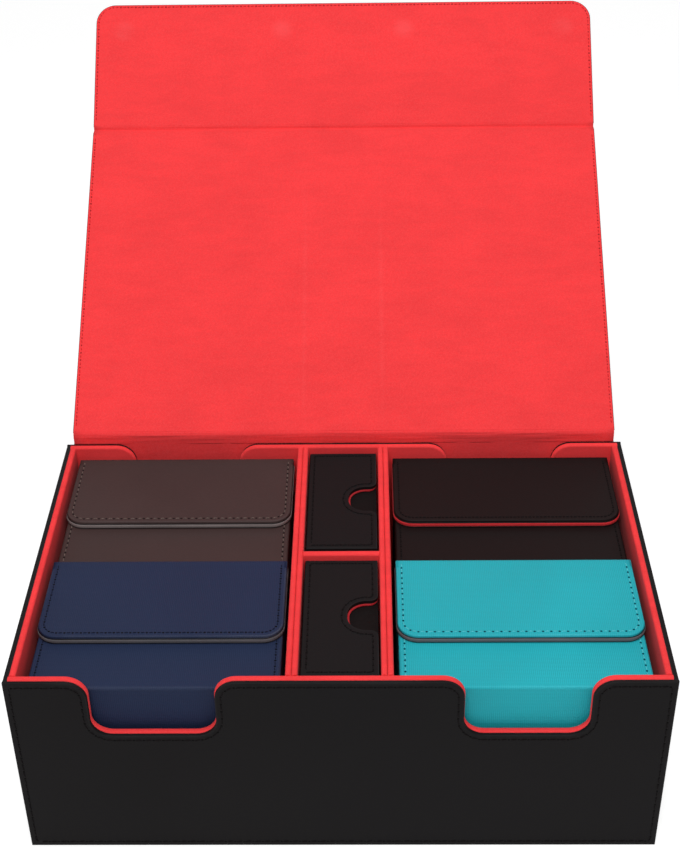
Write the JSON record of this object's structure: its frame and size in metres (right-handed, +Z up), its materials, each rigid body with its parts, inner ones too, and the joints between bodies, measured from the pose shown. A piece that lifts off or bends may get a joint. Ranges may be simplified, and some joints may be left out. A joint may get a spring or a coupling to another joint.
{
  "type": "trading card drawer box",
  "caption": "Hinged storage box with a magnetic front flap, red-lined bays for flap-top deck boxes and a channel for small drawer cases.",
  "frame": {"origin": "middle of the tray's underside", "axes": "+Z up, -Y towards the front wall with the finger notches, +Y towards the lid's hinge, +X to the right seen from the front"},
  "size_m": [0.2622, 0.3493, 0.2425],
  "materials": {
    "black_leather": "matte black imitation leather with a fine grain, black stitching",
    "red_suede": "short-napped red suede cloth",
    "grey_board": "grey board",
    "steel": "plain, hidden under the skin",
    "grey_leather": "warm grey imitation leather",
    "grey_lining": "grey suede cloth",
    "navy_leather": "navy imitation leather with a cross-hatched grain",
    "navy_lining": "dark suede cloth",
    "black_deck_leather": "matte black imitation leather",
    "red_deck_lining": "red suede cloth",
    "teal_leather": "teal imitation leather with a cross-hatched grain",
    "teal_lining": "dark teal suede cloth",
    "black_paper": "black paper over board"
  },
  "bodies": {
    "tray": {"base_board": "black_leather", "floor_lining": "red_suede", "front_cover": "black_leather", "left_cover": "black_leather", "right_cover": "black_leather", "rear_cover": "black_leather", "rear_spine": "black_leather", "spine_lining": "red_suede", "front_inner_wall": "red_suede", "rear_inner_wall": "red_suede", "left_inner_wall": "red_suede", "right_inner_wall": "red_suede", "left_divider": "red_suede", "right_divider": "red_suede", "cross_divider": "red_suede", "strike_plates": "steel", "lid_hinge_strip": "black_leather"},
    "lid": {"lid_cover": "black_leather", "lid_board": "grey_board", "lid_lining": "red_suede", "flap_crease_strip": "black_leather"},
    "front_flap": {"front_flap_cover": "black_leather", "front_flap_board": "grey_board", "front_flap_lining": "red_suede", "front_flap_magnets": "steel"},
    "grey_deck": {"grey_deck_shell": "grey_leather", "grey_deck_lining": "grey_lining", "grey_deck_top_panel": "grey_leather", "grey_deck_strikes": "steel"},
    "grey_deck_flap": {"grey_deck_flap_cover": "grey_leather", "grey_deck_flap_lining": "grey_lining", "grey_deck_flap_magnets": "steel"},
    "navy_deck": {"navy_deck_shell": "navy_leather", "navy_deck_lining": "navy_lining", "navy_deck_top_panel": "navy_leather", "navy_deck_strikes": "steel"},
    "navy_deck_flap": {"navy_deck_flap_cover": "navy_leather", "navy_deck_flap_lining": "navy_lining", "navy_deck_flap_magnets": "steel"},
    "black_deck": {"black_deck_shell": "black_deck_leather", "black_deck_lining": "red_deck_lining", "black_deck_top_panel": "black_deck_leather", "black_deck_strikes": "steel"},
    "black_deck_flap": {"black_deck_flap_cover": "black_deck_leather", "black_deck_flap_lining": "red_deck_lining", "black_deck_flap_magnets": "steel"},
    "teal_deck": {"teal_deck_shell": "teal_leather", "teal_deck_lining": "teal_lining", "teal_deck_top_panel": "teal_leather", "teal_deck_strikes": "steel"},
    "teal_deck_flap": {"teal_deck_flap_cover": "teal_leather", "teal_deck_flap_lining": "teal_lining", "teal_deck_flap_magnets": "steel"},
    "rear_case": {"rear_case_cover": "black_leather", "rear_case_lining": "red_suede", "rear_case_drawer": "black_paper"},
    "front_case": {"front_case_cover": "black_leather", "front_case_lining": "red_suede", "front_case_drawer": "black_paper"}
  },
  "joints": [
    {"name": "lid_hinge", "type": "hinge", "parent": "tray", "child": "lid", "pos_m": [0, 0.0816, 0.0964], "axis": [-1, 0, 0], "range_deg": [-145.2, 34.8], "deforming": ["lid_hinge_strip"]},
    {"name": "flap_crease", "type": "hinge", "parent": "lid", "child": "front_flap", "pos_m": [0, 0.21921, 0.19277], "axis": [-1, 0, 0], "range_deg": [-82, 30], "deforming": ["flap_crease_strip"]},
    {"name": "grey_deck_lift", "type": "slide", "parent": "tray", "child": "grey_deck", "axis": [0, 0, 1], "range_m": [0, 0.1]},
    {"name": "grey_deck_flap_hinge", "type": "hinge", "parent": "grey_deck", "child": "grey_deck_flap", "pos_m": [-0.0738, 0.0733, 0.08725], "axis": [-1, 0, 0], "range_deg": [0, 95]},
    {"name": "navy_deck_lift", "type": "slide", "parent": "tray", "child": "navy_deck", "axis": [0, 0, 1], "range_m": [0, 0.1]},
    {"name": "navy_deck_flap_hinge", "type": "hinge", "parent": "navy_deck", "child": "navy_deck_flap", "pos_m": [-0.0738, -0.0023, 0.08725], "axis": [-1, 0, 0], "range_deg": [0, 95]},
    {"name": "black_deck_lift", "type": "slide", "parent": "tray", "child": "black_deck", "axis": [0, 0, 1], "range_m": [0, 0.1]},
    {"name": "black_deck_flap_hinge", "type": "hinge", "parent": "black_deck", "child": "black_deck_flap", "pos_m": [0.0738, 0.0733, 0.08725], "axis": [-1, 0, 0], "range_deg": [0, 95]},
    {"name": "teal_deck_lift", "type": "slide", "parent": "tray", "child": "teal_deck", "axis": [0, 0, 1], "range_m": [0, 0.1]},
    {"name": "teal_deck_flap_hinge", "type": "hinge", "parent": "teal_deck", "child": "teal_deck_flap", "pos_m": [0.0738, -0.0023, 0.08725], "axis": [-1, 0, 0], "range_deg": [0, 95]},
    {"name": "rear_case_lift", "type": "slide", "parent": "tray", "child": "rear_case", "axis": [0, 0, 1], "range_m": [0, 0.1]},
    {"name": "front_case_lift", "type": "slide", "parent": "tray", "child": "front_case", "axis": [0, 0, 1], "range_m": [0, 0.1]}
  ]
}
